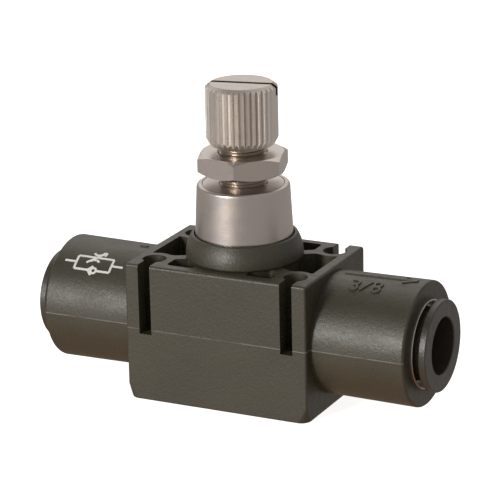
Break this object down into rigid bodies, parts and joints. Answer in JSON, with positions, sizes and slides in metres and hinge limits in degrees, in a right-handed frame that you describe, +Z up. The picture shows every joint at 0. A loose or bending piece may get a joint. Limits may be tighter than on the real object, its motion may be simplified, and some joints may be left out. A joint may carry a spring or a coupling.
{
  "type": "flow control valve",
  "caption": "In-line pneumatic flow control valve with push-in tube sockets, a knurled needle adjuster and a lock nut.",
  "frame": {"origin": "middle of the block's flat underside, below the adjuster", "axes": "+X out of the arrowed port, -Y the front face, +Z up the adjuster"},
  "size_m": [0.0724, 0.0238, 0.0541],
  "materials": {
    "black_plastic": "satin moulded",
    "button_plastic": "satin moulded",
    "white_acetal": "satin moulded",
    "nickel_plate": "satin turned",
    "spring_steel": "bright rolled",
    "nitrile": "matt moulded"
  },
  "bodies": {
    "valve_body": {"body": "black_plastic", "bonnet": "nickel_plate", "guide_bush": "nickel_plate", "bonnet_o_ring": "nitrile", "seat_insert": "white_acetal", "check_lip_seal": "nitrile", "left_cartridge_ring": "nickel_plate", "left_grab_ring": "spring_steel", "left_spacer_ring": "button_plastic", "left_tube_seal": "nitrile", "right_cartridge_ring": "nickel_plate", "right_grab_ring": "spring_steel", "right_spacer_ring": "button_plastic", "right_tube_seal": "nitrile"},
    "adjuster_carrier": {"stem_o_ring": "nitrile"},
    "adjuster": {"needle_spindle": "nickel_plate", "knurled_knob": "nickel_plate"},
    "lock_nut": {"lock_nut": "nickel_plate"},
    "left_button": {"left_release_button": "button_plastic"},
    "right_button": {"right_release_button": "button_plastic"}
  },
  "joints": [
    {"name": "adjuster_turn", "type": "hinge", "parent": "adjuster_carrier", "child": "adjuster", "pos_m": [0, 0, 0.025], "axis": [0, 0, 1], "range_deg": [-936, 2520]},
    {"name": "adjuster_lift", "type": "slide", "parent": "valve_body", "child": "adjuster_carrier", "axis": [0, 0, 1], "range_m": [-0.0013, 0.0035]},
    {"name": "lock_nut_slide", "type": "slide", "parent": "valve_body", "child": "lock_nut", "axis": [0, 0, 1], "range_m": [-0.00195, 0]},
    {"name": "left_button_press", "type": "slide", "parent": "valve_body", "child": "left_button", "axis": [1, 0, 0], "range_m": [0, 0.001], "stiffness_N_per_m": 2000, "springref_m": -0.0005},
    {"name": "right_button_press", "type": "slide", "parent": "valve_body", "child": "right_button", "axis": [-1, 0, 0], "range_m": [0, 0.001], "stiffness_N_per_m": 2000, "springref_m": -0.0005}
  ],
  "couplings": [
    {"joint": "adjuster_lift", "follows": "adjuster_turn", "m_per_rad": 0.000079577}
  ]
}
